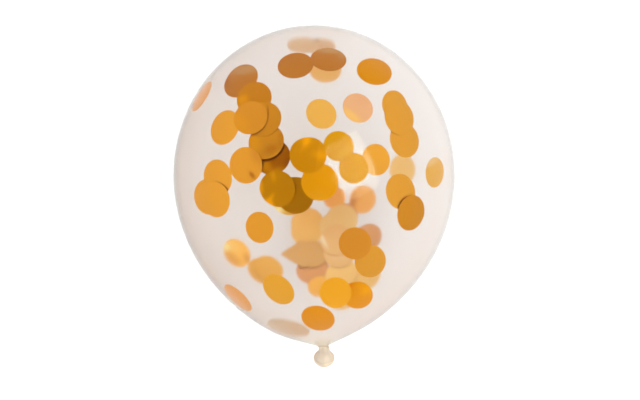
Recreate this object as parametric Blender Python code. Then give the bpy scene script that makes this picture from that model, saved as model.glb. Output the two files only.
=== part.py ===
# Clear latex party balloon, filled and closed, lying on its side.
# Body, neck and rolled lip are one dipped piece of latex, and it is sealed, so it is one solid.
# Frame: metres, +Z up. The origin is the middle of the flat spot that the balloon lies on.
# The long axis runs along Y, with the crown towards +Y and the neck towards -Y.

import math

import bmesh
import bpy
from mathutils import Vector

# Body
BODY_DIAMETER = 0.280        # across the widest section
CROWN_LENGTH = 0.149         # from the widest section to the crown, an ellipse
FLANK_LENGTH = 0.169         # from the widest section to where the flank's curve would close
FLANK_POWER = 0.63           # 0.5 would be an ellipse, a higher power draws the flank in earlier
CONE_START = 0.97            # share of the flank's length after which it runs straight to the neck
FLAT_SPOT_DIAMETER = 0.044   # the patch that the balloon lies on

# Neck
NECK_DIAMETER = 0.011
NECK_LENGTH = 0.0130         # from the root fillet to the middle of the lip
NECK_ROOT_FILLET = 0.0020    # where the flank turns into the neck
NECK_SHIFT = 0.0098          # how far the neck stands to the side of the body's axis
NECK_SHIFT_RUN = 0.016       # the stretch before the neck over which the axis moves across
NECK_DROOP = math.radians(50)  # how far the lip end has sunk
FLARE_START = 0.4            # shares of the neck's length between which it widens to the lip
FLARE_END = 1.1              # past the lip, so that it is still widening where it meets the bead

# Lip
LIP_DIAMETER = 0.021         # over the rolled bead
LIP_BEAD = 0.0030            # thickness of the bead
MOUTH_DEPTH = 0.005          # from the middle of the bead to where the neck is closed
MOUTH_TAPER = 0.6            # floor of the mouth as a share of its width at the bead

# Facets
SEGMENTS = 48                # round the body
CROWN_RINGS = 15
FLANK_RINGS = 22
CONE_RINGS = 2
FILLET_RINGS = 4
NECK_RINGS = 9
BEAD_RINGS = 11
MOUTH_RINGS = 4

LATEX_COLOUR = (0.86, 0.81, 0.76, 1.0)
LATEX_ROUGHNESS = 0.2


def clear_scene():
    for old in list(bpy.data.objects):
        bpy.data.objects.remove(old)


def smooth(share):
    share = min(max(share, 0.0), 1.0)
    return share * share * (3.0 - 2.0 * share)


def crown_profile():
    # (distance past the widest section towards the neck, radius), from the crown to the widest section
    points = []
    for ring in range(1, CROWN_RINGS + 1):
        angle = 0.5 * math.pi * ring / CROWN_RINGS
        points.append((-CROWN_LENGTH * math.cos(angle), 0.5 * BODY_DIAMETER * math.sin(angle)))
    return points


def flank_radius(distance):
    share = distance / FLANK_LENGTH
    return 0.5 * BODY_DIAMETER * (1.0 - share * share) ** FLANK_POWER


def flank_slope(distance):
    # how fast the radius falls with distance
    share = distance / FLANK_LENGTH
    steepness = 2.0 * FLANK_POWER * share / (1.0 - share * share)
    return flank_radius(distance) * steepness / FLANK_LENGTH


def flank_profile():
    # rings close up towards the cone, where the curve is tightest
    points = []
    last_angle = math.asin(CONE_START)
    for ring in range(1, FLANK_RINGS + 1):
        distance = FLANK_LENGTH * math.sin(last_angle * ring / FLANK_RINGS)
        points.append((distance, flank_radius(distance)))
    return points


def root_profile():
    # the straight cone, then the fillet that turns it into the neck
    start = CONE_START * FLANK_LENGTH
    start_radius = flank_radius(start)
    slope = flank_slope(start)
    cone_angle = math.atan(slope)
    neck_radius = 0.5 * NECK_DIAMETER
    corner = start + (start_radius - neck_radius) / slope
    tangent = NECK_ROOT_FILLET * math.tan(0.5 * cone_angle)
    fillet_end = corner + tangent
    cone_end = corner - tangent * math.cos(cone_angle)
    points = []
    for ring in range(1, CONE_RINGS):
        distance = start + (cone_end - start) * ring / CONE_RINGS
        points.append((distance, start_radius - slope * (distance - start)))
    for ring in range(FILLET_RINGS + 1):
        angle = cone_angle * (1.0 - ring / FILLET_RINGS)
        distance = fillet_end - NECK_ROOT_FILLET * math.sin(angle)
        radius = neck_radius + NECK_ROOT_FILLET * (1.0 - math.cos(angle))
        points.append((distance, radius))
    return points, fillet_end


def neck_profile(neck_start):
    # out along the flared neck, round the rolled bead, and back in to the closed floor of the mouth
    neck_radius = 0.5 * NECK_DIAMETER
    bead_radius = 0.5 * LIP_BEAD
    bead_middle = 0.5 * LIP_DIAMETER - bead_radius
    lip = neck_start + NECK_LENGTH
    points = []
    for ring in range(1, NECK_RINGS + 1):
        share = ring / NECK_RINGS
        flare = smooth((share - FLARE_START) / (FLARE_END - FLARE_START))
        distance = neck_start + share * (NECK_LENGTH - bead_radius)
        points.append((distance, neck_radius + flare * (bead_middle - neck_radius)))
    for ring in range(1, BEAD_RINGS + 1):
        angle = math.pi * (1.5 * ring / BEAD_RINGS - 0.5)
        distance = lip + bead_radius * math.sin(angle)
        radius = bead_middle + bead_radius * math.cos(angle)
        points.append((distance, radius))
    mouth_radius = bead_middle - bead_radius
    for ring in range(1, MOUTH_RINGS + 1):
        angle = 0.5 * math.pi * ring / MOUTH_RINGS
        distance = lip - MOUTH_DEPTH * math.sin(angle)
        radius = mouth_radius * (MOUTH_TAPER + (1.0 - MOUTH_TAPER) * math.cos(angle))
        points.append((distance, radius))
    return points


def axis_frame(distance, neck_start):
    # the axis at this distance: a point on it, and the direction that its ring faces
    beyond = max(distance - neck_start, 0.0)
    along = min(distance, neck_start)
    shift_share = max(along - neck_start + NECK_SHIFT_RUN, 0.0) / NECK_SHIFT_RUN
    side = NECK_SHIFT * shift_share ** 2
    turn = NECK_DROOP * beyond / NECK_LENGTH
    bend_radius = NECK_LENGTH / NECK_DROOP
    place = Vector((side, -along - bend_radius * math.sin(turn), -bend_radius * (1.0 - math.cos(turn))))
    direction = Vector((0.0, -math.cos(turn), -math.sin(turn)))
    return place, direction


def ring_vertices(mesh, place, direction, radius):
    across = Vector((1.0, 0.0, 0.0))
    up = across.cross(direction)
    ring = []
    for segment in range(SEGMENTS):
        angle = 2.0 * math.pi * segment / SEGMENTS
        offset = across * (radius * math.sin(angle)) - up * (radius * math.cos(angle))
        ring.append(mesh.verts.new(place + offset))
    return ring


def join_rings(mesh, first, second):
    for index in range(SEGMENTS):
        following = (index + 1) % SEGMENTS
        mesh.faces.new((first[index], first[following], second[following], second[index]))


def close_ring(mesh, ring, place):
    tip = mesh.verts.new(place)
    for index in range(SEGMENTS):
        mesh.faces.new((ring[index], ring[(index + 1) % SEGMENTS], tip))


def lay_on_flat_spot(mesh):
    # the body rests where the widest section is lowest, cut to a flat patch of the stated width
    rest_height = math.sqrt((0.5 * BODY_DIAMETER) ** 2 - (0.5 * FLAT_SPOT_DIAMETER) ** 2)
    bmesh.ops.translate(mesh, vec=Vector((0.0, 0.0, rest_height)), verts=mesh.verts[:])
    everything = mesh.verts[:] + mesh.edges[:] + mesh.faces[:]
    cut = bmesh.ops.bisect_plane(
        mesh, geom=everything, plane_co=(0.0, 0.0, 0.0), plane_no=(0.0, 0.0, -1.0), clear_outer=True
    )
    rim = [piece for piece in cut["geom_cut"] if isinstance(piece, bmesh.types.BMEdge)]
    patch = bmesh.ops.edgeloop_fill(mesh, edges=rim)["faces"]
    for face in mesh.faces:
        face.smooth = face not in patch


def latex_material():
    material = bpy.data.materials.new("clear_latex")
    material.use_nodes = True
    shader = material.node_tree.nodes["Principled BSDF"]
    shader.inputs["Base Color"].default_value = LATEX_COLOUR
    shader.inputs["Roughness"].default_value = LATEX_ROUGHNESS
    shader.inputs["Metallic"].default_value = 0.0
    return material


def make_balloon():
    root, neck_start = root_profile()
    profile = crown_profile() + flank_profile() + root + neck_profile(neck_start)
    mesh = bmesh.new()
    rings = []
    for distance, radius in profile:
        place, direction = axis_frame(distance, neck_start)
        rings.append(ring_vertices(mesh, place, direction, radius))
    for first, second in zip(rings, rings[1:]):
        join_rings(mesh, first, second)
    crown_tip = Vector((0.0, CROWN_LENGTH, 0.0))
    close_ring(mesh, rings[0][::-1], crown_tip)
    mouth_floor = axis_frame(profile[-1][0], neck_start)[0]
    close_ring(mesh, rings[-1], mouth_floor)
    lay_on_flat_spot(mesh)
    bmesh.ops.recalc_face_normals(mesh, faces=mesh.faces[:])
    data = bpy.data.meshes.new("latex_balloon")
    mesh.to_mesh(data)
    mesh.free()
    data.materials.append(latex_material())
    balloon = bpy.data.objects.new("latex_balloon", data)
    bpy.context.scene.collection.objects.link(balloon)
    return balloon


clear_scene()
make_balloon()
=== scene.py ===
# Clear latex party balloon on its side, with loose gold foil discs sealed inside.
# Metres, +Z up. The crown is towards +Y, the neck towards -Y, and the rest spot is at the origin.

import math

import bmesh
import bpy
from mathutils import Matrix, Vector


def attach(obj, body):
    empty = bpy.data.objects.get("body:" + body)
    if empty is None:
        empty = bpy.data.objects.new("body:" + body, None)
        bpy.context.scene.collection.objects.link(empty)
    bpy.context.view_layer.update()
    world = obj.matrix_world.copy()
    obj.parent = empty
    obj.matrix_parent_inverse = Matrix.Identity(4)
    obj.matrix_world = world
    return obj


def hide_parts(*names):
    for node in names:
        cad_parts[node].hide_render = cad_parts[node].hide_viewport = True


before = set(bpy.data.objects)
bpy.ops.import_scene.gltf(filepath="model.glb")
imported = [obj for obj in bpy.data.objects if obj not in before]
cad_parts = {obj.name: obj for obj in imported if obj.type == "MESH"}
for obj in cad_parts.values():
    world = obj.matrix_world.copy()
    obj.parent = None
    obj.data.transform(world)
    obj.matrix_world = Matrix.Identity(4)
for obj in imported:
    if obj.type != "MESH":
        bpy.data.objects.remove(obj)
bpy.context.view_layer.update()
print("frame loaded")


# Camera: it looks straight down on the lying balloon, with the crown at the top of the picture
cameraSetup = {
    "height": 1.35,            # over the floor
    "place": (0.00575, -0.024615),
    "focal": 1213.05,          # in pixels of a picture 640 wide
    "pictureSize": (640, 400),
    "sensor": 36.0,            # millimetres across
    "clipStart": 0.01,
}


def makeCamera():
    data = bpy.data.cameras.new("camera")
    data.sensor_width = cameraSetup["sensor"]
    data.lens = cameraSetup["focal"] * cameraSetup["sensor"] / cameraSetup["pictureSize"][0]
    data.clip_start = cameraSetup["clipStart"]
    camera = bpy.data.objects.new("camera", data)
    x, y = cameraSetup["place"]
    camera.location = (x, y, cameraSetup["height"])
    bpy.context.scene.collection.objects.link(camera)
    bpy.context.scene.camera = camera


makeCamera()
print("camera placed")


# Materials
def makeMaterial(name, values):
    material = bpy.data.materials.new(name)
    material.use_nodes = True
    shader = material.node_tree.nodes["Principled BSDF"]
    for socket, value in values.items():
        shader.inputs[socket].default_value = value
    return material


latexFinish = {
    "clear": {
        "Transmission Weight": 1.0,
        "Roughness": 0.22,
        "IOR": 1.05,
        "Coat Weight": 1.0,
        "Coat Roughness": 0.03,
        "Coat IOR": 1.10,
    },
    "cream": {
        "Base Color": (0.77, 0.67, 0.555, 1.0),
        "Transmission Weight": 0.45,
        "Roughness": 0.35,
        "IOR": 1.4,
    },
}

# The clear latex's tint is deeper where it is seen edge-on. It is darker and browner on the side away from the room's
# bright side, a painted shade. Towards the neck it turns creamy.
latexTint = {
    "litSide": (0.825, 0.805, 0.795, 1.0),
    "shadedSide": (0.845, 0.81, 0.785, 1.0),
    "litSideEdge": (0.84, 0.81, 0.805, 1.0),
    "shadedSideEdge": (0.67, 0.555, 0.48, 1.0),
    "edgePower": 2.5,            # how close to the edge its tint keeps
    "nearNeck": (0.86, 0.82, 0.74, 1.0),
    "litWay": (0.91, 0.41, 0.0),  # towards the lit side, the room's bright side
    "reach": 0.14,               # from the middle to the shaded side and to the lit side
    "creamyFrom": -0.156,        # along the balloon
    "creamyTo": -0.171,
}

# Each tone has the face that clings to the wall and the back that looks into the balloon.
foilTones = {
    "gold": {"face": (0.91, 0.43, 0.045), "back": (0.95, 0.52, 0.15)},
    "clean": {"face": (0.86, 0.39, 0.035), "back": (0.95, 0.52, 0.15)},
    "ripe": {"face": (0.73, 0.35, 0.038), "back": (0.90, 0.45, 0.12)},
    "fresh": {"face": (0.79, 0.385, 0.042), "back": (0.90, 0.45, 0.12)},
    "ochre": {"face": (0.79, 0.33, 0.03), "back": (0.90, 0.45, 0.12)},
    "straw": {"face": (0.93, 0.475, 0.043), "back": (0.95, 0.52, 0.15)},
    "honey": {"face": (0.95, 0.53, 0.08), "back": (1.0, 0.66, 0.25)},
    "warm": {"face": (0.735, 0.31, 0.025), "back": (0.90, 0.45, 0.12)},
    "deep": {"face": (0.86, 0.38, 0.001), "back": (0.90, 0.45, 0.12)},
    "rust": {"face": (0.73, 0.295, 0.001), "back": (0.90, 0.45, 0.12)},
    "orange": {"face": (0.85, 0.34, 0.001), "back": (0.90, 0.45, 0.12)},
    "vivid": {"face": (1.0, 0.48, 0.02), "back": (0.90, 0.45, 0.12)},
    "mid": {"face": (0.64, 0.27, 0.015), "back": (0.90, 0.45, 0.12)},
    "dark": {"face": (0.60, 0.235, 0.012), "back": (0.80, 0.42, 0.12)},
    "olive": {"face": (0.68, 0.295, 0.001), "back": (0.72, 0.36, 0.12)},
    "khaki": {"face": (0.58, 0.25, 0.001), "back": (0.72, 0.36, 0.12)},
    "moss": {"face": (0.44, 0.18, 0.001), "back": (0.72, 0.36, 0.12)},
    "brown": {"face": (0.36, 0.11, 0.001), "back": (0.72, 0.36, 0.12)},
    "soft": {"face": (0.735, 0.36, 0.003), "back": (0.90, 0.45, 0.12)},
    "copper": {"face": (0.55, 0.212, 0.03), "back": (0.80, 0.42, 0.16)},
    "bright": {"face": (0.81, 0.46, 0.09), "back": (1.0, 0.56, 0.13)},
    "amber": {"face": (1.0, 0.49, 0.10), "back": (0.86, 0.475, 0.115)},
    "peach": {"face": (0.82, 0.47, 0.24), "back": (0.98, 0.52, 0.165)},
    "blush": {"face": (0.96, 0.66, 0.36), "back": (1.0, 0.75, 0.485)},
    "faint": {"face": (0.96, 0.66, 0.36), "back": (1.0, 0.93, 0.78)},
    "sand": {"face": (0.80, 0.42, 0.12), "back": (0.91, 0.645, 0.285)},
    "tan": {"face": (0.80, 0.42, 0.12), "back": (0.92, 0.57, 0.19)},
    "dun": {"face": (0.80, 0.42, 0.12), "back": (0.90, 0.575, 0.255)},
    "bark": {"face": (0.76, 0.45, 0.175), "back": (0.76, 0.45, 0.175)},
    "rose": {"face": (0.76, 0.36, 0.12), "back": (0.79, 0.41, 0.185)},
}
foilFinish = {"Metallic": 1.0, "Roughness": 0.38}
mixSockets = {"share": 0, "first": 6, "second": 7, "result": 2}   # of a Mix node that mixes colours


def blend(nodes, links, share, first, second):
    mix = nodes.new("ShaderNodeMix")
    mix.data_type = "RGBA"
    links.new(share, mix.inputs[mixSockets["share"]])
    for name, colour in (("first", first), ("second", second)):
        socket = mix.inputs[mixSockets[name]]
        if isinstance(colour, tuple):
            socket.default_value = colour
        else:
            links.new(colour, socket)
    return mix.outputs[mixSockets["result"]]


def tintLatex(material):
    nodes, links = material.node_tree.nodes, material.node_tree.links
    place = nodes.new("ShaderNodeTexCoord")
    side = nodes.new("ShaderNodeVectorMath")
    side.operation = "DOT_PRODUCT"
    side.inputs[1].default_value = latexTint["litWay"]
    links.new(place.outputs["Object"], side.inputs[0])
    # share of the way towards the lit side; the other side gets a painted shade
    litShare = nodes.new("ShaderNodeMapRange")
    litShare.inputs["From Min"].default_value = -latexTint["reach"]
    litShare.inputs["From Max"].default_value = latexTint["reach"]
    links.new(side.outputs["Value"], litShare.inputs["Value"])
    along = nodes.new("ShaderNodeSeparateXYZ")
    links.new(place.outputs["Object"], along.inputs["Vector"])
    creamy = nodes.new("ShaderNodeMapRange")
    creamy.interpolation_type = "SMOOTHSTEP"
    creamy.inputs["From Min"].default_value = latexTint["creamyFrom"]
    creamy.inputs["From Max"].default_value = latexTint["creamyTo"]
    links.new(along.outputs["Y"], creamy.inputs["Value"])
    facing = nodes.new("ShaderNodeLayerWeight")
    edgeShare = nodes.new("ShaderNodeMath")
    edgeShare.operation = "POWER"
    links.new(facing.outputs["Facing"], edgeShare.inputs[0])
    edgeShare.inputs[1].default_value = latexTint["edgePower"]
    front = blend(nodes, links, litShare.outputs["Result"], latexTint["shadedSide"], latexTint["litSide"])
    edge = blend(nodes, links, litShare.outputs["Result"], latexTint["shadedSideEdge"], latexTint["litSideEdge"])
    body = blend(nodes, links, edgeShare.outputs["Value"], front, edge)
    colour = blend(nodes, links, creamy.outputs["Result"], body, latexTint["nearNeck"])
    links.new(colour, nodes["Principled BSDF"].inputs["Base Color"])


latexMaterials = [makeMaterial(name + "_latex", latexFinish[name]) for name in ("clear", "cream")]
tintLatex(latexMaterials[0])

# Painted glints and painted shades: where a disc is bent towards the light or away from it, and at some edges where
# discs overlap, its foil colour is painted lighter or darker.
shadeTint = (0.62, 0.46, 0.48, 1.0)   # what is left of the foil's colour under a painted shade
glintColours = {
    "orange": (1.0, 0.44, 0.001, 1.0),
    "yellow": (1.0, 0.62, 0.10, 1.0),
    "white": (1.0, 0.84, 0.36, 1.0),
    "pale": (1.0, 0.90, 0.62, 1.0),
    "dusk": (0.58, 0.33, 0.13, 1.0),
}


def makeSheenGroup():
    # the foil's colour with its painted glints mixed in and then its painted shades
    group = bpy.data.node_groups.new("foilSheen", "ShaderNodeTree")
    for name in ("Foil Color", "Glint Color", "Shade Tint"):
        group.interface.new_socket(name, in_out="INPUT", socket_type="NodeSocketColor")
    group.interface.new_socket("Color", in_out="OUTPUT", socket_type="NodeSocketColor")
    nodes, links = group.nodes, group.links
    values = nodes.new("NodeGroupInput")
    result = nodes.new("NodeGroupOutput")
    colour = values.outputs["Foil Color"]
    for paintedKind, way, tint in (("glint", "MIX", "Glint Color"), ("shade", "MULTIPLY", "Shade Tint")):
        strength = nodes.new("ShaderNodeAttribute")
        strength.attribute_name = paintedKind
        colour = blend(nodes, links, strength.outputs["Fac"], colour, values.outputs[tint])
        colour.node.blend_type = way
    links.new(colour, result.inputs["Color"])
    return group


sheenGroup = makeSheenGroup()
foilMaterials = {}


def foilPair(tone, glintName=None):
    # the materials of a disc's face and back: plain ones, or with a glint's colour the ones that show its marks
    key = tone + "_" + glintName if glintName else tone
    if key not in foilMaterials:
        pair = []
        for side in ("face", "back"):
            material = makeMaterial("foil_" + key + "_" + side, foilFinish)
            nodes, links = material.node_tree.nodes, material.node_tree.links
            colour = foilTones[tone][side] + (1.0,)
            base = nodes["Principled BSDF"].inputs["Base Color"]
            if glintName:
                sheen = nodes.new("ShaderNodeGroup")
                sheen.node_tree = sheenGroup
                sheen.inputs["Foil Color"].default_value = colour
                sheen.inputs["Glint Color"].default_value = glintColours[glintName]
                sheen.inputs["Shade Tint"].default_value = shadeTint
                links.new(sheen.outputs["Color"], base)
            else:
                base.default_value = colour
            pair.append(material)
        foilMaterials[key] = pair
    return foilMaterials[key]


print("materials ready")


# The balloon: body, neck and rolled lip, one dipped piece of latex
balloon = {
    "bodyDiameter": 0.280,       # across the widest section
    "crownLength": 0.149,        # widest section to crown
    "crownPower": 0.5,           # an ellipse
    "flankLength": 0.169,        # widest section to where the flank's curve would close
    "flankPower": 0.63,          # 0.5 would be an ellipse, a higher power draws the flank in earlier
    "curveEnd": 0.9999,          # share of a length at which its slope stops growing, short of the very tip
    "coneStart": 0.97,           # share of the flank after which it runs straight
    "flatSpot": 0.044,           # across the patch that the balloon lies on
    "wall": 0.0003,              # thickness of the skin when full
    "neckDiameter": 0.011,
    "neckLength": 0.0130,        # from the fillet at its root to the middle of the lip
    "rootFillet": 0.0020,
    "neckShift": 0.0098,         # how far it stands to the side
    "shiftRun": 0.016,           # the stretch before the neck over which the axis moves across
    "droop": math.radians(50),   # how far the lip end has sunk
    "flareStart": 0.4,           # shares of the neck's length between which it widens
    "flareEnd": 1.1,
    "lipDiameter": 0.021,
    "beadThickness": 0.0030,
    "mouthDepth": 0.005,         # from the middle of the bead to where the neck is closed
    "mouthTaper": 0.6,           # width of the mouth's floor as a share of its width at the bead
    "creamRun": 0.0012,          # the stretch before the neck where its outside is cream already
    "segments": 128,
    "crownRings": 40,
    "flankRings": 60,
    "coneRings": 6,
    "filletRings": 10,
    "neckRings": 24,
    "beadRings": 24,
    "mouthRings": 12,
}
restHeight = math.sqrt((0.5 * balloon["bodyDiameter"]) ** 2 - (0.5 * balloon["flatSpot"]) ** 2)


def smoothShare(share):
    share = min(max(share, 0.0), 1.0)
    return share * share * (3.0 - 2.0 * share)


def bodyRadius(distance):
    # the body's radius and how fast it changes, at a distance past the widest section towards the neck
    half = 0.5 * balloon["bodyDiameter"]
    if distance < 0.0:
        length, power = balloon["crownLength"], balloon["crownPower"]
    else:
        length, power = balloon["flankLength"], balloon["flankPower"]
    share = min(abs(distance) / length, balloon["curveEnd"])
    radius = half * (1.0 - share * share) ** power
    slope = -2.0 * power * share / (1.0 - share * share) * radius / length
    return radius, slope if distance >= 0.0 else -slope


def outerProfile():
    # (distance past the widest section, radius) from the crown to the closed mouth, and where the neck starts
    points = []
    half = 0.5 * balloon["bodyDiameter"]
    rings = balloon["crownRings"]
    for ring in range(1, rings + 1):
        angle = 0.5 * math.pi * ring / rings
        points.append((-balloon["crownLength"] * math.cos(angle), half * math.sin(angle)))
    rings = balloon["flankRings"]
    lastAngle = math.asin(balloon["coneStart"])
    for ring in range(1, rings + 1):
        distance = balloon["flankLength"] * math.sin(lastAngle * ring / rings)
        points.append((distance, bodyRadius(distance)[0]))

    # straight cone and the fillet into the neck
    start, startRadius = points[-1]
    slope = -bodyRadius(start)[1]
    coneAngle = math.atan(slope)
    neckRadius = 0.5 * balloon["neckDiameter"]
    corner = start + (startRadius - neckRadius) / slope
    tangent = balloon["rootFillet"] * math.tan(0.5 * coneAngle)
    neckStart = corner + tangent
    coneEnd = corner - tangent * math.cos(coneAngle)
    rings = balloon["coneRings"]
    for ring in range(1, rings):
        distance = start + (coneEnd - start) * ring / rings
        points.append((distance, startRadius - slope * (distance - start)))
    rings = balloon["filletRings"]
    for ring in range(rings + 1):
        angle = coneAngle * (1.0 - ring / rings)
        points.append((
            neckStart - balloon["rootFillet"] * math.sin(angle),
            neckRadius + balloon["rootFillet"] * (1.0 - math.cos(angle)),
        ))

    # flared neck, rolled bead and the mouth down to where the neck is closed
    beadRadius = 0.5 * balloon["beadThickness"]
    beadMiddle = 0.5 * balloon["lipDiameter"] - beadRadius
    lip = neckStart + balloon["neckLength"]
    rings = balloon["neckRings"]
    for ring in range(1, rings + 1):
        share = ring / rings
        flare = smoothShare((share - balloon["flareStart"]) / (balloon["flareEnd"] - balloon["flareStart"]))
        distance = neckStart + share * (balloon["neckLength"] - beadRadius)
        points.append((distance, neckRadius + flare * (beadMiddle - neckRadius)))
    rings = balloon["beadRings"]
    for ring in range(1, rings + 1):
        angle = math.pi * (1.5 * ring / rings - 0.5)
        points.append((lip + beadRadius * math.sin(angle), beadMiddle + beadRadius * math.cos(angle)))
    mouthRadius = beadMiddle - beadRadius
    taper = balloon["mouthTaper"]
    rings = balloon["mouthRings"]
    for ring in range(1, rings + 1):
        angle = 0.5 * math.pi * ring / rings
        points.append((
            lip - balloon["mouthDepth"] * math.sin(angle),
            mouthRadius * (taper + (1.0 - taper) * math.cos(angle)),
        ))
    return points, neckStart


def innerProfile(outer, neckStart):
    # the same line moved in by the wall, up to the neck that closes it
    points = []
    line = [(-balloon["crownLength"], 0.0)] + outer
    for before, middle, after in zip(line, line[1:], line[2:]):
        if middle[0] > neckStart:
            break
        along, out = after[0] - before[0], after[1] - before[1]
        length = math.hypot(along, out)
        points.append((
            middle[0] + balloon["wall"] * out / length,
            middle[1] - balloon["wall"] * along / length,
        ))
    return points


def axisFrame(distance, neckStart):
    # a point on the balloon's bent axis, and the way that the ring round it faces
    beyond = max(distance - neckStart, 0.0)
    along = min(distance, neckStart)
    shiftShare = max(along - neckStart + balloon["shiftRun"], 0.0) / balloon["shiftRun"]
    turn = balloon["droop"] * beyond / balloon["neckLength"]
    bend = balloon["neckLength"] / balloon["droop"]
    place = Vector((
        balloon["neckShift"] * shiftShare ** 2,
        -along - bend * math.sin(turn),
        restHeight - bend * (1.0 - math.cos(turn)),
    ))
    return place, Vector((0.0, -math.cos(turn), -math.sin(turn)))


def addSurface(mesh, profile, neckStart, tip, lowest, inward):
    # rings from crown to neck, closed at both ends
    across = Vector((1.0, 0.0, 0.0))
    count = balloon["segments"]
    rings = []
    for distance, radius in profile:
        place, direction = axisFrame(distance, neckStart)
        up = across.cross(direction)
        ring = []
        for segment in range(count):
            angle = 2.0 * math.pi * segment / count
            point = place + across * (radius * math.sin(angle)) - up * (radius * math.cos(angle))
            point.z = max(point.z, lowest)
            ring.append(mesh.verts.new(point))
        rings.append(ring)
    faces = []
    for index, (first, second) in enumerate(zip(rings, rings[1:])):
        cream = not inward and neckStart - profile[index][0] <= balloon["creamRun"]
        for segment in range(count):
            following = (segment + 1) % count
            face = mesh.faces.new((first[segment], first[following], second[following], second[segment]))
            face.material_index = int(cream)
            faces.append(face)
    crown = mesh.verts.new((0.0, tip, restHeight))
    end = mesh.verts.new(axisFrame(profile[-1][0], neckStart)[0])
    for segment in range(count):
        following = (segment + 1) % count
        faces.append(mesh.faces.new((rings[0][following], rings[0][segment], crown)))
        face = mesh.faces.new((rings[-1][segment], rings[-1][following], end))
        face.material_index = int(not inward)
        faces.append(face)
    bmesh.ops.recalc_face_normals(mesh, faces=faces)
    for face in faces:
        face.smooth = True
        if inward:
            face.normal_flip()


def makeBalloon():
    outer, neckStart = outerProfile()
    inner = innerProfile(outer, neckStart)
    mesh = bmesh.new()
    addSurface(mesh, outer, neckStart, balloon["crownLength"], 0.0, False)
    addSurface(mesh, inner, neckStart, balloon["crownLength"] - balloon["wall"], balloon["wall"], True)
    data = bpy.data.meshes.new("latex_skin")
    mesh.to_mesh(data)
    mesh.free()
    for material in latexMaterials:
        data.materials.append(material)
    skin = bpy.data.objects.new("latex_skin", data)
    bpy.context.scene.collection.objects.link(skin)
    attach(skin, "root")
    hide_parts("latex_balloon")


makeBalloon()
print("balloon made")


# The confetti: round foil discs that cling to the inside of the skin.
# "seenAt" is a disc's middle in the photograph's pixels. The line of sight through it meets the wall there, and the
# disc lies along the wall, unless "squash" (short over long side of its outline in the photograph) and "turn"
# (degrees that the long side runs down to the right) say how it is tipped.
# "layer" is how many layers it stands off the wall, so that discs that overlap keep clear of each other. One that
# lies "flush" with another disc is tipped as that one is, and its layers count from there.
# A crease folds a part of a disc: (degrees that the part lies towards, where the fold is as a share of the radius,
# degrees of bend into the balloon, or out towards the skin where they are less than 0).
# A glint is a painted highlight, and a shade is a painted shade or shadow on the foil, placed in the photograph's
# pixels: (x, y, half its length, half its width, degrees that its length runs down to the right, strength).
foil = {
    "large": 0.033,
    "small": 0.0285,
    "thickness": 0.00008,
    "clearance": 0.0002,         # between the wall and a disc that clings to it
    "layer": 0.0004,             # between discs that overlap
    "cling": 1.0,                # share of the wall's roundness that a disc takes on where it lies along the wall
    "looseCling": 0.6,           # and where it is tipped
    "wallRound": 0.14,           # radius of that roundness
    "deepest": 0.07,             # furthest that a tipped disc may stand off the wall
    "sightSteps": 1400,          # from the camera to the floor
    "sightEnd": 0.168,           # how far from the widest section the wall is looked for, short of the neck
    "rimStep": 10,               # degrees between the places on the rim that are kept clear of the wall
    "halvings": 16,              # of the way into the balloon, to find where a disc is just clear
    "paintedLightEdge": 1.5,             # how sharply a painted glint or shade ends
    "sharpFrom": 0.6,            # radians between two faces, from which the edge between them is sharp
    "rings": 16,
    "segments": 64,
}
placed = {}   # middle and facing of each disc that is made


def skinDepth(point):
    # how far a point is inside the body's outer surface, and the way out
    radius, slope = bodyRadius(-point.y)
    side = Vector((point.x, 0.0, point.z - restHeight))
    out = side.normalized() + Vector((0.0, slope, 0.0))
    tilt = out.length
    return min((radius - side.length) / tilt, point.z), out / tilt


def sightLine(pixel):
    width, height = cameraSetup["pictureSize"]
    eye = Vector(cameraSetup["place"] + (cameraSetup["height"],))
    way = Vector((
        (pixel[0] - 0.5 * width) / cameraSetup["focal"],
        (0.5 * height - pixel[1]) / cameraSetup["focal"],
        -1.0,
    ))
    return eye, way


def sightPoint(pixel, wall, depth):
    # down the line of sight, to where it comes in through the top wall or goes out through the bottom one
    eye, way = sightLine(pixel)
    inside = []
    for step in range(foil["sightSteps"]):
        point = eye + way * (cameraSetup["height"] * step / foil["sightSteps"])
        if abs(point.y) < foil["sightEnd"] and skinDepth(point)[0] > depth:
            inside.append(point)
    return inside[0] if wall == "top" else inside[-1]


def seenFrom(point):
    # where the photograph shows a point
    width, height = cameraSetup["pictureSize"]
    reach = cameraSetup["focal"] / (cameraSetup["height"] - point.z)
    return (
        0.5 * width + (point.x - cameraSetup["place"][0]) * reach,
        0.5 * height - (point.y - cameraSetup["place"][1]) * reach,
    )


def paintedLightStrength(point, paintedSpots):
    # how strong the painted glints or the painted shades are at a point
    x, y = seenFrom(point)
    strength = 0.0
    for paintX, paintY, long, short, turn, most in paintedSpots:
        turn = math.radians(turn)
        along = (x - paintX) * math.cos(turn) + (y - paintY) * math.sin(turn)
        across = (y - paintY) * math.cos(turn) - (x - paintX) * math.sin(turn)
        strength += most * math.exp(-((along / long) ** 2 + (across / short) ** 2) ** foil["paintedLightEdge"])
    return min(strength, 1.0)


def facing(inward, out, squash, turn):
    # the way that a tipped disc faces, out of the four that give this outline the one nearest to the wall's
    sight = -inward
    turn = math.radians(turn)
    longWay = Vector((math.cos(turn), -math.sin(turn), 0.0))
    longWay = (longWay - sight * longWay.dot(sight)).normalized()
    shortWay = sight.cross(longWay)
    tip = math.acos(squash)
    ways = []
    for side in (-1.0, 1.0):
        for lean in (-1.0, 1.0):
            ways.append(side * (sight * math.cos(tip) + shortWay * (lean * math.sin(tip))))
    return max(ways, key=lambda way: way.dot(out))


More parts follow.
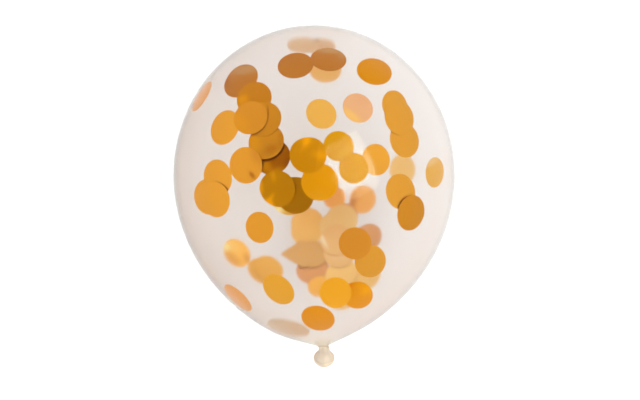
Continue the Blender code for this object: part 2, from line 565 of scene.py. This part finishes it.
def standDisc(setup, depth):
    # a disc's middle at the wall, the way that it faces, and the way into the balloon along the line of sight
    middle = sightPoint(setup["seenAt"], setup["wall"], depth)
    inward = sightLine(setup["seenAt"])[1].normalized()
    if setup["wall"] == "bottom":
        inward = -inward
    if "flush" in setup:
        onto, out = placed[setup["flush"]]
        under = onto - out * foil["layer"] * setup["layer"]
        middle = middle + inward * ((under - middle).dot(out) / inward.dot(out))
        return middle, out, inward
    out = skinDepth(middle)[1]
    if "squash" in setup:
        out = facing(inward, out, setup["squash"], setup["turn"])
    return middle, out, inward


def discShape(setup, middle, out, inward):
    # gives a point of the disc: (u, v) is its place on the flat disc in radii, standOff how far the disc is moved in,
    # and side 0 for its face and 1 for its back
    radius = 0.5 * foil[setup.get("size", "large")] * setup.get("scale", 1.0)
    right = Vector((0.0, 1.0, 0.0)).cross(out).normalized()
    up = out.cross(right)
    cling = foil["looseCling"] if "squash" in setup or "flush" in setup else foil["cling"]
    sag = cling * radius * radius / (2.0 * foil["wallRound"])

    def place(u, v, standOff, side):
        drop = sag * (u * u + v * v) + side * foil["thickness"]
        flatU, flatV = u, v
        for angle, start, bend in setup.get("creases", ()):
            angle, bend = math.radians(angle), math.radians(bend)
            past = max(flatU * math.cos(angle) + flatV * math.sin(angle) - start, 0.0)
            drop += past * radius * math.sin(bend)
            u -= past * (1.0 - math.cos(bend)) * math.cos(angle)
            v -= past * (1.0 - math.cos(bend)) * math.sin(angle)
        return middle + inward * standOff + (right * u + up * v) * radius - out * drop

    return place


def clearOfWall(place, depth):
    # how far in along the line of sight the whole disc is clear of the wall
    spots = [(0.0, 0.0)]
    for angle in range(0, 360, foil["rimStep"]):
        spots.append((math.cos(math.radians(angle)), math.sin(math.radians(angle))))
    near, far = 0.0, foil["deepest"]
    for _ in range(foil["halvings"]):
        half = 0.5 * (near + far)
        clear = min(skinDepth(place(u, v, half, 0))[0] for u, v in spots)
        near, far = (near, half) if clear >= depth else (half, far)
    return far


def discMesh(name, place, standOff):
    mesh = bmesh.new()
    count = foil["segments"]
    sheets = []
    for side in (0, 1):
        sheet = []
        for ring in range(foil["rings"] + 1):
            share = ring / foil["rings"]
            row = []
            for segment in range(count if ring else 1):
                angle = 2.0 * math.pi * segment / count
                row.append(mesh.verts.new(place(share * math.cos(angle), share * math.sin(angle), standOff, side)))
            sheet.append(row)
        sheets.append(sheet)
    for side, sheet in enumerate(sheets):
        for segment in range(count):
            following = (segment + 1) % count
            for ring in range(foil["rings"]):
                if ring == 0:
                    corners = [sheet[0][0], sheet[1][segment], sheet[1][following]]
                else:
                    corners = [
                        sheet[ring][segment], sheet[ring + 1][segment],
                        sheet[ring + 1][following], sheet[ring][following],
                    ]
                if side:
                    corners.reverse()
                face = mesh.faces.new(corners)
                face.material_index = side
                face.smooth = True
    face, back = sheets[0][-1], sheets[1][-1]
    for segment in range(count):
        following = (segment + 1) % count
        mesh.faces.new((face[following], face[segment], back[segment], back[following]))
    mesh.normal_update()
    for edge in mesh.edges:
        edge.smooth = edge.calc_face_angle(0.0) < foil["sharpFrom"]
    data = bpy.data.meshes.new(name)
    mesh.to_mesh(data)
    mesh.free()
    return data


def dressDisc(data, setup):
    # its two materials, and where it has painted glints or painted shades, how strong they are at each point
    hasPaintedLight = "glints" in setup or "shades" in setup
    glintName = setup.get("glintColour", "yellow") if hasPaintedLight else None
    for material in foilPair(setup["tone"], glintName):
        data.materials.append(material)
    if hasPaintedLight:
        for paintedKind in ("glint", "shade"):
            values = data.attributes.new(paintedKind, "FLOAT", "POINT").data
            for vertex in data.vertices:
                values[vertex.index].value = paintedLightStrength(vertex.co, setup.get(paintedKind + "s", ()))


def makeDisc(name, setup):
    depth = balloon["wall"] + foil["clearance"]
    if "flush" not in setup:
        depth += foil["layer"] * setup.get("layer", 0)
    middle, out, inward = standDisc(setup, depth)
    place = discShape(setup, middle, out, inward)
    standOff = clearOfWall(place, depth)
    placed[name] = (middle + inward * standOff, out)
    data = discMesh(name, place, standOff)
    dressDisc(data, setup)
    disc = bpy.data.objects.new(name, data)
    bpy.context.scene.collection.objects.link(disc)
    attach(disc, "root")


# Discs on the top wall, seen sharply through the skin that they cling to. The lowest layer is in front.
topDiscs = {
    "crown_copper_left": {"seenAt": (295.5, 65.0), "squash": 0.7, "turn": -8, "layer": 1, "tone": "copper"},
    "crown_copper_right": {
        "seenAt": (328.5, 58.9), "squash": 0.64, "turn": 5, "tone": "copper",
        "glintColour": "dusk", "glints": [(329, 50, 17, 3.8, 4, 0.9), (342, 56, 4, 4, 0, 0.5)],
    },
    "crown_right": {"seenAt": (374.4, 71.1), "squash": 0.73, "turn": 15, "tone": "rust"},
    "shoulder_copper": {
        "seenAt": (241.5, 79.2), "squash": 0.74, "turn": -40, "tone": "copper",
        "glintColour": "dusk", "glints": [(246, 69.5, 16, 5, -8, 0.8)],
        "shades": [(227, 83, 7, 3, 80, 0.3)],
    },
    "shoulder_behind": {"seenAt": (240, 82.1), "squash": 0.74, "turn": -38, "layer": 2.5, "tone": "copper"},
    "shoulder_low": {
        "seenAt": (254, 98.5), "flush": "left_chain_front", "layer": 6, "tone": "dark",
        "glintColour": "orange", "glints": [(243, 99, 6, 4, -40, 0.5)],
    },
    "left_chain_front": {
        "seenAt": (250.5, 117.6), "squash": 0.9, "turn": -40, "tone": "warm", "scale": 0.96,
        "glintColour": "orange", "glints": [(240, 124, 14, 9, 60, 0.25)],
    },
    "left_chain_right": {
        "seenAt": (263.5, 119), "flush": "left_chain_front", "layer": 3, "tone": "mid",
        "shades": [
            (267.8, 109, 5, 1, 80, 0.7), (267.6, 117, 5, 1, 98, 1.0),
            (265, 124.8, 5, 1, 120, 1.0), (259.6, 131, 5, 1, 142, 0.8),
        ],
    },
    "left_chain_middle": {
        "seenAt": (266, 141.5), "flush": "left_chain_front", "layer": 5, "tone": "mid",
        "glintColour": "orange", "glints": [(255, 143, 10, 5, 80, 0.3)],
        "shades": [(271, 149, 8, 5, -30, 0.5), (281, 140, 10, 3, 90, 0.4)],
    },
    "left_chain_brown": {
        "seenAt": (272.3, 157), "flush": "left_chain_front", "layer": 11.5, "tone": "brown",
        "glintColour": "orange", "glints": [(266, 167, 6, 6, 0, 0.35), (277, 170, 8, 3, -20, 0.3)],
        "shades": [
            (288, 164, 9, 4, 90, 0.5), (266.5, 160.4, 5, 1, -5, 0.8),
            (273.5, 158.4, 5, 1, -30, 0.8), (262.6, 165.5, 5, 1, 90, 0.8),
        ],
    },
    "left_chain_low": {
        "seenAt": (245.5, 165.3), "squash": 0.89, "turn": 88, "layer": 7, "tone": "clean",
        "shades": [(252, 175, 4.5, 2.3, 55, 1.0), (257, 156, 11, 6, 60, 0.35)],
    },
    "left_single": {"seenAt": (224.5, 127.3), "squash": 0.73, "turn": -65, "layer": 1, "tone": "gold"},
    "left_pair_behind": {"seenAt": (217.3, 177.5), "flush": "left_pair_front", "layer": 3, "tone": "gold"},
    "left_pair_middle": {"seenAt": (207.5, 197), "flush": "left_pair_front", "layer": 1, "tone": "gold"},
    "left_pair_front": {"seenAt": (215.2, 199.5), "squash": 0.77, "turn": 80, "tone": "gold"},
    "middle_upper": {
        "seenAt": (308, 154.6), "tone": "olive",
        "creases": [(95, 0.62, 22), (-8, 0.5, 10)],
        "glintColour": "orange",
        "glints": [(306.5, 139, 7, 4.6, 90, 1.0), (303.5, 147, 6, 2.5, 110, 0.4), (321, 155, 9, 4.5, 8, 0.6)],
    },
    "middle_lower": {
        "seenAt": (319.8, 182.2), "layer": 2, "tone": "deep",
        "glintColour": "yellow", "glints": [(334, 178, 5, 2.5, 100, 0.3), (318, 197, 9, 4, 0, 0.12)],
    },
    "middle_left": {
        "seenAt": (277, 189), "tone": "khaki",
        "creases": [(-122, 0.5, 18)],
        "glintColour": "orange",
        "glints": [
            (269.5, 203, 6, 3.8, 45, 1.0), (271.5, 197, 5, 2, -60, 0.6),
            (260.5, 189, 9, 3, 90, 0.6), (273.5, 176.5, 6, 2.4, 80, 0.5),
        ],
    },
    "middle_olive": {"seenAt": (295.3, 195.5), "layer": 6, "tone": "moss"},
    "middle_glint": {
        "seenAt": (289, 197), "layer": 11, "tone": "bright",
        "glintColour": "white", "glints": [(278, 209.5, 6, 4.5, 45, 1.0)],
    },
    "upper_small": {"seenAt": (321.5, 113.7), "squash": 0.89, "turn": 41, "tone": "bright", "size": "small"},
    "upper_peach": {
        "seenAt": (358, 107.8), "squash": 0.88, "turn": 40, "layer": 3, "tone": "peach", "size": "small",
        "glintColour": "yellow", "glints": [(350.5, 115.5, 14, 4.5, 36, 0.55)],
        "shades": [(362, 101, 9, 5, 30, 0.12)],
    },
    "trio_left": {
        "seenAt": (338.7, 146), "layer": 3.5, "tone": "soft", "size": "small", "scale": 0.96,
        "glints": [(346, 153, 12, 6, -45, 0.3)],
    },
    "trio_front": {"seenAt": (353.9, 168.1), "tone": "soft", "size": "small", "scale": 0.96},
    "trio_right": {
        "seenAt": (376.2, 159.6), "squash": 0.87, "turn": 80, "layer": 1, "tone": "fresh", "size": "small",
        "glintColour": "pale", "glints": [(368, 164, 12, 4.5, 62, 0.3)],
    },
    "right_chain_top": {
        "seenAt": (395, 105.5), "flush": "right_chain_middle", "layer": 1.75, "tone": "ripe", "size": "small",
    },
    "right_chain_middle": {"seenAt": (399.6, 117.5), "squash": 0.79, "turn": 73, "layer": 7, "tone": "ripe"},
    "right_chain_low": {"seenAt": (404.8, 139.8), "flush": "right_chain_middle", "layer": 1.75, "tone": "ripe"},
    "right_pair_behind": {"seenAt": (401, 191.6), "squash": 0.8, "turn": 80, "layer": 7, "tone": "ripe"},
    "right_pair_front": {"seenAt": (411.4, 213), "squash": 0.73, "turn": -75, "tone": "mid"},
    "right_edge": {
        "seenAt": (435.1, 172.4), "squash": 0.59, "turn": -87, "tone": "bright", "size": "small",
        "glintColour": "pale", "glints": [(430.5, 160.5, 9, 5.5, -32, 0.3)],
    },
    "left_edge": {"seenAt": (201.3, 96.1), "squash": 0.27, "turn": -59, "tone": "amber"},
    "low_edge": {"seenAt": (237.5, 298.2), "squash": 0.34, "turn": 44, "tone": "amber", "scale": 1.05},
    "low_left_small": {"seenAt": (259.3, 227.5), "squash": 0.87, "turn": 75, "tone": "clean", "size": "small"},
    "low_left": {"seenAt": (278.2, 289.6), "squash": 0.7, "turn": 42, "tone": "straw"},
    "low_middle": {"seenAt": (317.9, 318.6), "squash": 0.72, "turn": 13, "tone": "orange", "scale": 0.97},
    "low_orange": {
        "seenAt": (335.6, 292.8), "squash": 0.96, "turn": 0, "tone": "vivid", "size": "small", "scale": 1.04,
    },
    "low_orange_behind": {
        "seenAt": (357.6, 295.4), "squash": 0.89, "turn": 0, "layer": 3, "tone": "orange", "size": "small",
        "glintColour": "orange", "glints": [(366, 291, 6, 4, -25, 1.0), (362, 286, 7, 2.5, 0, 0.5)],
    },
    "low_right_front": {
        "seenAt": (355, 243.5), "squash": 0.98, "turn": 0, "tone": "ochre", "size": "small", "scale": 1.04,
    },
    "low_right_behind": {
        "seenAt": (370.5, 261.4), "squash": 0.93, "turn": -60, "layer": 3, "tone": "ripe", "size": "small",
        "scale": 1.06,
    },
}

# Discs on the bottom wall, seen across the balloon. The highest layer is in front.
bottomDiscs = {
    "far_crown_left": {"seenAt": (303, 44.8), "squash": 0.5, "turn": 0, "layer": 1, "tone": "blush"},
    "far_crown_right": {
        "seenAt": (320, 46), "squash": 0.5, "turn": 0, "tone": "blush",
        "shades": [(315, 47.8, 8, 1.4, -18, 0.5), (328, 46.5, 7, 1.4, 15, 0.3)],
    },
    "far_crown_low": {"seenAt": (325.5, 70.2), "squash": 0.75, "turn": 0, "tone": "honey", "scale": 1.03},
    "far_right": {"seenAt": (402.6, 169.5), "squash": 0.84, "turn": 90, "tone": "honey"},
    "far_left_tipped": {
        "seenAt": (236.7, 253.1), "squash": 0.77, "turn": 50, "tone": "bright",
        "glintColour": "white", "glints": [(226, 247, 4.5, 3.4, 60, 1.0), (232, 246.5, 10, 4.5, 35, 0.25)],
        "shades": [(232, 259, 12, 5.5, 38, 0.4), (247.5, 258.5, 6, 3.5, 60, 0.5)],
    },
    "far_left_pair_front": {"seenAt": (268.5, 269), "layer": 2, "tone": "amber"},
    "far_left_pair_behind": {
        "seenAt": (261.5, 271.5), "layer": 1, "tone": "amber",
        "shades": [(257, 270, 3, 2, 80, 0.3)],
    },
    "far_neck_smear": {"seenAt": (288, 328.5), "squash": 0.34, "turn": 13, "tone": "faint", "scale": 1.35},
    "far_trio_low": {"seenAt": (368, 238), "tone": "rose"},
    "far_trio_right": {
        "seenAt": (362.8, 199.6), "layer": 0.5, "tone": "peach", "scale": 0.95,
        "shades": [(351, 204, 12, 5, 110, 0.7)],
    },
    "far_trio_left": {"seenAt": (334.5, 197.5), "layer": 1.8, "tone": "peach", "size": "small", "scale": 0.88},
    "far_trio_between": {"seenAt": (343.5, 217.5), "layer": 1, "tone": "rose"},
    "heap_upper_left": {"seenAt": (307.5, 223.5), "layer": 1, "tone": "tan", "scale": 1.1},
    "heap_upper_left_behind": {"seenAt": (306.5, 231.5), "tone": "tan", "scale": 1.05},
    "heap_upper_right": {"seenAt": (341.5, 220.8), "layer": 3, "tone": "sand", "scale": 1.12},
    "heap_upper_between": {"seenAt": (335, 226.5), "layer": 2, "tone": "sand", "scale": 1.05},
    "heap_right": {
        "seenAt": (340.5, 253), "layer": 4, "tone": "dun", "scale": 1.12,
        "glintColour": "pale", "glints": [(338, 258, 10, 1.8, 2, 0.15)],
    },
    "heap_centre": {
        "seenAt": (336.8, 240), "layer": 5, "tone": "dun", "scale": 1.12,
        "glintColour": "pale", "glints": [(323, 240, 9, 2, 61, 0.9)],
    },
    "heap_left": {
        "seenAt": (297.5, 254.3), "layer": 2, "tone": "bark", "scale": 1.07,
        "creases": [(55, 0.66, -176), (-55, 0.66, -176)],
    },
    "heap_middle": {"seenAt": (312, 254.3), "layer": 2, "tone": "bark", "scale": 1.02},
    "heap_rose": {"seenAt": (313, 271), "layer": 0.4, "tone": "rose", "scale": 1.1},
    "heap_low_small": {"seenAt": (321, 287), "tone": "bright", "size": "small"},
    "far_low_right": {"seenAt": (366, 278.8), "layer": 1, "tone": "honey", "scale": 1.04},
    "far_low_middle": {"seenAt": (342, 274.5), "layer": 3, "tone": "honey", "scale": 1.1},
    "far_low_edge": {"seenAt": (344, 299), "layer": 2.2, "tone": "honey"},
}

# a disc that lies flush on another is made after it
for wall, discs in (("top", topDiscs), ("bottom", bottomDiscs)):
    for name in sorted(discs, key=lambda name: "flush" in discs[name]):
        makeDisc(name, dict(discs[name], wall=wall))
print("confetti made:", len(topDiscs) + len(bottomDiscs), "discs")


# Floor and light: a white studio with a soft box at the upper right and a darker ceiling over the camera
studio = {
    "floorSize": 24.0,
    "floorColour": (0.45, 0.45, 0.45, 1.0),
    "glowColour": (1.0, 1.0, 1.0, 1.0),
    "floorGlow": (0.64, 0.80),   # the floor glows, a painted light, brighter towards the room's bright side
    "glowRun": 0.15,             # how far to each side of the balloon its glow changes
    "paintedPoolGlow": 0.12,            # what a painted pool of light under the balloon adds to the floor's glow
    "poolPlace": (0.034, 0.013, 0.0),
    "poolTurn": math.radians(-60),
    "poolSize": (0.046, 0.036, 1.0),
    "poolFull": 0.45,            # how far in from its edge, as a share of its radius, it is at its brightest
    "floorRoughness": 0.9,
    "floorDrop": 0.0005,         # keeps the floor clear of the flat spot
    "light": 1.5,                # strength of the room's light
    "walls": (                   # how high up, as the sine of the height, and how bright there
        (0.0, 0.80),
        (0.3, 1.0),
        (0.62, 0.97),
        (0.93, 0.76),
    ),
    "brightWay": (0.91, 0.41, 0.0),  # the bright side of the room
    "dimSide": 0.84,             # shares of the light on the two sides of the room
    "brightSide": 1.02,
    "boxWay": (0.48, 0.09, 0.87),  # from the balloon's middle to the soft box
    "boxLongWay": (0.46, -0.89),  # which way its long side runs, looked down on
    "boxDistance": 1.3,
    "boxLong": 0.95,
    "boxShort": 0.72,
    "boxBright": 32.0,
    "boxColour": (1.0, 0.88, 0.5),
}


def makeFloor():
    half = 0.5 * studio["floorSize"]
    data = bpy.data.meshes.new("floor")
    corners = [(-half, -half, 0.0), (half, -half, 0.0), (half, half, 0.0), (-half, half, 0.0)]
    data.from_pydata(corners, [], [(0, 1, 2, 3)])
    white = makeMaterial("floor_white", {
        "Base Color": studio["floorColour"],
        "Roughness": studio["floorRoughness"],
        "Emission Color": studio["glowColour"],
    })
    nodes, links = white.node_tree.nodes, white.node_tree.links
    # the floor's glow is painted light: brighter towards the room's bright side, plus a painted pool of light under
    # the balloon
    place = nodes.new("ShaderNodeTexCoord")
    parts = nodes.new("ShaderNodeSeparateXYZ")
    glow = nodes.new("ShaderNodeMapRange")
    glow.inputs["From Min"].default_value = -studio["glowRun"]
    glow.inputs["From Max"].default_value = studio["glowRun"]
    glow.inputs["To Min"].default_value, glow.inputs["To Max"].default_value = studio["floorGlow"]
    links.new(place.outputs["Object"], parts.inputs["Vector"])
    links.new(parts.outputs["X"], glow.inputs["Value"])
    spot = nodes.new("ShaderNodeMapping")
    spot.vector_type = "TEXTURE"
    spot.inputs["Location"].default_value = studio["poolPlace"]
    spot.inputs["Rotation"].default_value = (0.0, 0.0, studio["poolTurn"])
    spot.inputs["Scale"].default_value = studio["poolSize"]
    fade = nodes.new("ShaderNodeTexGradient")
    fade.gradient_type = "SPHERICAL"
    paintedPool = nodes.new("ShaderNodeMapRange")
    paintedPool.interpolation_type = "SMOOTHSTEP"
    paintedPool.inputs["From Max"].default_value = studio["poolFull"]
    paintedPool.inputs["To Max"].default_value = studio["paintedPoolGlow"]
    both = nodes.new("ShaderNodeMath")
    links.new(place.outputs["Object"], spot.inputs["Vector"])
    links.new(spot.outputs["Vector"], fade.inputs["Vector"])
    links.new(fade.outputs["Fac"], paintedPool.inputs["Value"])
    links.new(glow.outputs["Result"], both.inputs[0])
    links.new(paintedPool.outputs["Result"], both.inputs[1])
    links.new(both.outputs["Value"], nodes["Principled BSDF"].inputs["Emission Strength"])
    data.materials.append(white)
    floor = bpy.data.objects.new("floor", data)
    floor.location.z = -studio["floorDrop"]
    bpy.context.scene.collection.objects.link(floor)


def makeWorld():
    world = bpy.data.worlds.new("studio")
    bpy.context.scene.world = world
    world.use_nodes = True
    nodes, links = world.node_tree.nodes, world.node_tree.links
    place = nodes.new("ShaderNodeTexCoord")
    parts = nodes.new("ShaderNodeSeparateXYZ")
    ramp = nodes.new("ShaderNodeValToRGB")
    ramp.color_ramp.interpolation = "EASE"
    stops = ramp.color_ramp.elements
    for number, (height, bright) in enumerate(studio["walls"]):
        stop = stops[number] if number < len(stops) else stops.new(height)
        stop.position = height
        stop.color = (bright, bright, bright, 1.0)
    side = nodes.new("ShaderNodeVectorMath")
    side.operation = "DOT_PRODUCT"
    side.inputs[1].default_value = studio["brightWay"]
    strength = nodes.new("ShaderNodeMapRange")
    strength.inputs["From Min"].default_value = -1.0
    strength.inputs["To Min"].default_value = studio["light"] * studio["dimSide"]
    strength.inputs["To Max"].default_value = studio["light"] * studio["brightSide"]
    links.new(place.outputs["Generated"], parts.inputs["Vector"])
    links.new(parts.outputs["Z"], ramp.inputs["Fac"])
    links.new(ramp.outputs["Color"], nodes["Background"].inputs["Color"])
    links.new(place.outputs["Generated"], side.inputs[0])
    links.new(side.outputs["Value"], strength.inputs["Value"])
    links.new(strength.outputs["Result"], nodes["Background"].inputs["Strength"])


def makeSoftBox():
    data = bpy.data.lights.new("soft_box", "AREA")
    data.shape = "RECTANGLE"
    data.size = studio["boxLong"]
    data.size_y = studio["boxShort"]
    data.color = studio["boxColour"]
    data.energy = studio["boxBright"] * math.pi * data.size * data.size_y
    box = bpy.data.objects.new("soft_box", data)
    box.visible_diffuse = False       # it only glints on the skin
    box.visible_transmission = False
    back = Vector(studio["boxWay"]).normalized()
    longWay = Vector(studio["boxLongWay"] + (0.0,))
    longWay = (longWay - back * longWay.dot(back)).normalized()
    turn = Matrix((longWay, back.cross(longWay), back)).transposed()
    box.rotation_euler = turn.to_euler()
    box.location = Vector((0.0, 0.0, restHeight)) + back * studio["boxDistance"]
    bpy.context.scene.collection.objects.link(box)


makeFloor()
makeWorld()
makeSoftBox()
bpy.context.scene.view_settings.view_transform = "Standard"
bpy.context.scene.cycles.use_denoising = True
print("studio made")
